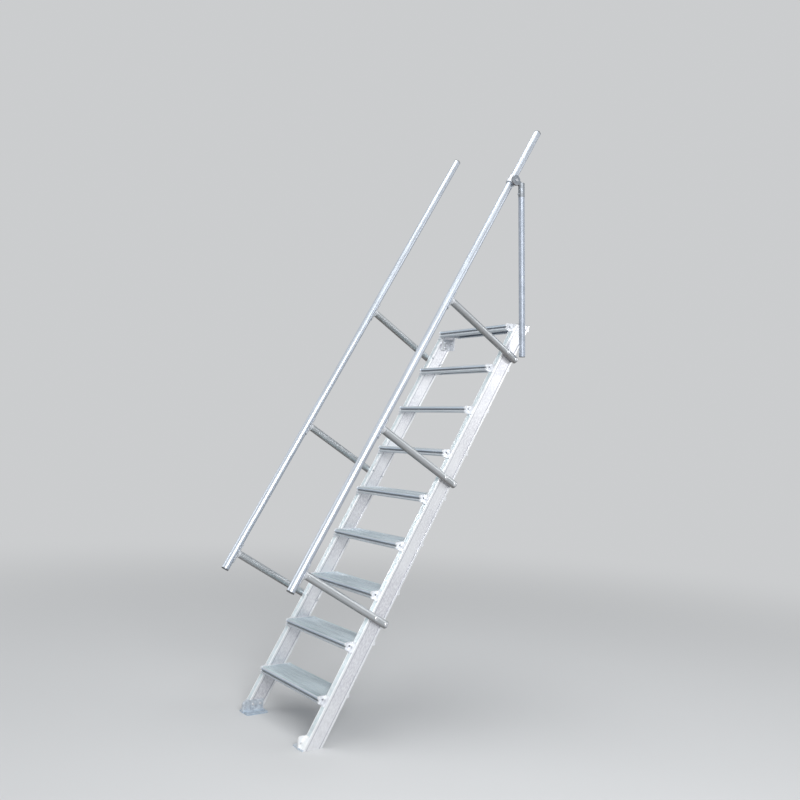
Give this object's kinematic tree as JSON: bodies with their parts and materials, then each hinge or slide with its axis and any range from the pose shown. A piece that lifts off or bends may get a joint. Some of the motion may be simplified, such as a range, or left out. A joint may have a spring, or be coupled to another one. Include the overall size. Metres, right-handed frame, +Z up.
{
  "type": "industrial staircase",
  "caption": "Steep open-riser aluminium stair: hollow stringers, ribbed treads on cast side brackets, round handrails on struts in cradles, and an end post on a swivel clamp.",
  "frame": {"origin": "under the left foot's floor flange, in the middle of its width and midway between its two anchor holes", "axes": "+X across the flight to the climber's right, +Y the way the climber goes, +Z up"},
  "size_m": [0.7951, 1.5168, 3.2683],
  "materials": {
    "stringer_extrusion": "mill-finished aluminium extrusion, drawn lines along its length",
    "tread_extrusion": "mill-finished aluminium extrusion, ribbed top worn by feet",
    "bracket_casting": "blasted cast aluminium",
    "foot_casting": "rough cast aluminium, blue-grey",
    "handrail_tube": "satin drawn aluminium tube",
    "strut_tube": "drawn aluminium tube, duller than the rail",
    "saddle_casting": "tumbled cast aluminium",
    "clamp_casting": "galvanised grey casting",
    "zinc_plated_steel": "bright zinc plate, as on the bolts",
    "plug": "dark plastic end plug",
    "cap": "grey plastic cover plate"
  },
  "bodies": {
    "root": {"clamp_collar": "clamp_casting", "clamp_pin": "zinc_plated_steel", "clamp_sleeve": "clamp_casting", "end_post": "handrail_tube", "end_post_plug": "plug", "foot_left": "foot_casting", "foot_right": "foot_casting", "handrail_left": "handrail_tube", "handrail_plugs_left": "plug", "handrail_plugs_right": "plug", "handrail_right": "handrail_tube", "saddle_1_left": "saddle_casting", "saddle_1_right": "saddle_casting", "saddle_2_left": "saddle_casting", "saddle_2_right": "saddle_casting", "saddle_3_left": "saddle_casting", "saddle_3_right": "saddle_casting", "stringer_cap_left": "cap", "stringer_cap_right": "cap", "stringer_left": "stringer_extrusion", "stringer_right": "stringer_extrusion", "strut_1_left": "strut_tube", "strut_1_right": "strut_tube", "strut_2_left": "strut_tube", "strut_2_right": "strut_tube", "strut_3_left": "strut_tube", "strut_3_right": "strut_tube", "strut_plugs_left": "plug", "strut_plugs_right": "plug", "top_cleat_left": "foot_casting", "top_cleat_right": "foot_casting", "tread_1": "tread_extrusion", "tread_2": "tread_extrusion", "tread_3": "tread_extrusion", "tread_4": "tread_extrusion", "tread_5": "tread_extrusion", "tread_6": "tread_extrusion", "tread_7": "tread_extrusion", "tread_8": "tread_extrusion", "tread_9": "tread_extrusion", "tread_brackets_left": "bracket_casting", "tread_brackets_right": "bracket_casting"}
  },
  "joints": []
}
